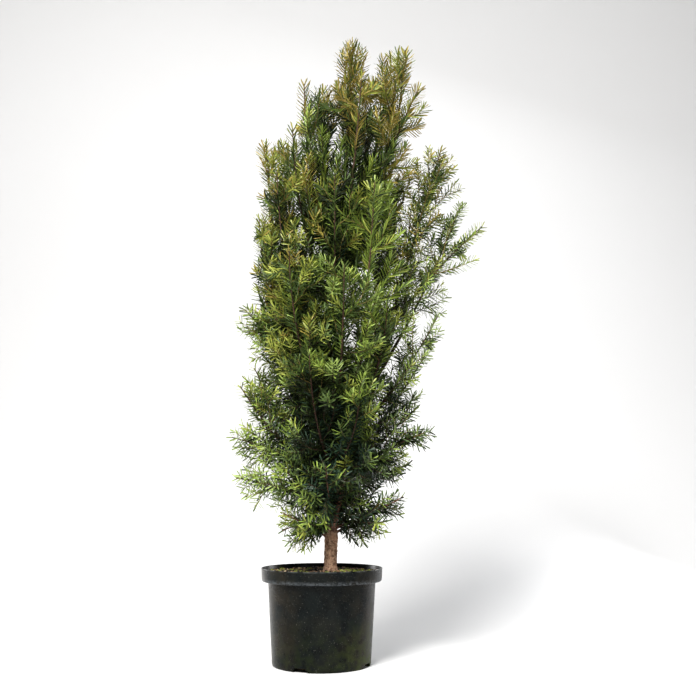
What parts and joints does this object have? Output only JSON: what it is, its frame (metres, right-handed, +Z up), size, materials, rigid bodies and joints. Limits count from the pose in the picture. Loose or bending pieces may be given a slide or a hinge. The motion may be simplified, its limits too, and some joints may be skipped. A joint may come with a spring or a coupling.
{
  "type": "potted irish yew",
  "caption": "Tall upright yew with a short forked trunk, erect limbs and needled shoots, growing in a round plastic nursery pot.",
  "frame": {"origin": "centre of the pot's flat underside", "axes": "+Z up along the plant's height; the side the picture shows faces -Y, with +X to its right"},
  "size_m": [0.6079, 0.4182, 1.523],
  "materials": {
    "pot_plastic": "moulded near-black green plastic, satin, dusty and a little algae-stained",
    "potting_bark": "moist bark chips and grit with moss",
    "bark": "thin flaking tan-brown bark, reddish on young limbs",
    "needles": "leathery evergreen needles with a soft gloss"
  },
  "bodies": {
    "root": {"pot": "pot_plastic", "soil": "potting_bark", "trunk": "bark", "bough_arm_back": "bark", "bough_arm_high": "bark", "bough_back_high": "bark", "bough_front_fresh": "bark", "bough_shoulder_left": "bark", "bough_shoulder_right": "bark", "foliage_arm_back": "needles", "foliage_arm_far": "needles", "foliage_arm_high": "needles", "foliage_arm_low": "needles", "foliage_arm_lower": "needles", "foliage_back_foot": "needles", "foliage_back_high": "needles", "foliage_back_left": "needles", "foliage_back_low": "needles", "foliage_back_middle": "needles", "foliage_back_right": "needles", "foliage_crest": "needles", "foliage_crest_back": "needles", "foliage_crest_front": "needles", "foliage_crest_inner": "needles", "foliage_crest_lean": "needles", "foliage_crest_left": "needles", "foliage_crest_middle": "needles", "foliage_crest_right": "needles", "foliage_front_crown": "needles", "foliage_front_foot": "needles", "foliage_front_fresh": "needles", "foliage_front_gold": "needles", "foliage_front_left": "needles", "foliage_front_low": "needles", "foliage_front_middle": "needles", "foliage_front_right": "needles", "foliage_inner_left": "needles", "foliage_inner_right": "needles", "foliage_left_back": "needles", "foliage_left_bay": "needles", "foliage_left_flare": "needles", "foliage_left_foot": "needles", "foliage_left_high": "needles", "foliage_left_hook": "needles", "foliage_left_inner": "needles", "foliage_left_low": "needles", "foliage_left_reach": "needles", "foliage_left_shoulder": "needles", "foliage_left_skirt": "needles", "foliage_right_bay": "needles", "foliage_right_foot": "needles", "foliage_right_hook": "needles", "foliage_right_inner": "needles", "foliage_right_low": "needles", "foliage_right_reach": "needles", "foliage_shoulder_front": "needles", "foliage_shoulder_left": "needles", "foliage_shoulder_right": "needles"}
  },
  "joints": []
}
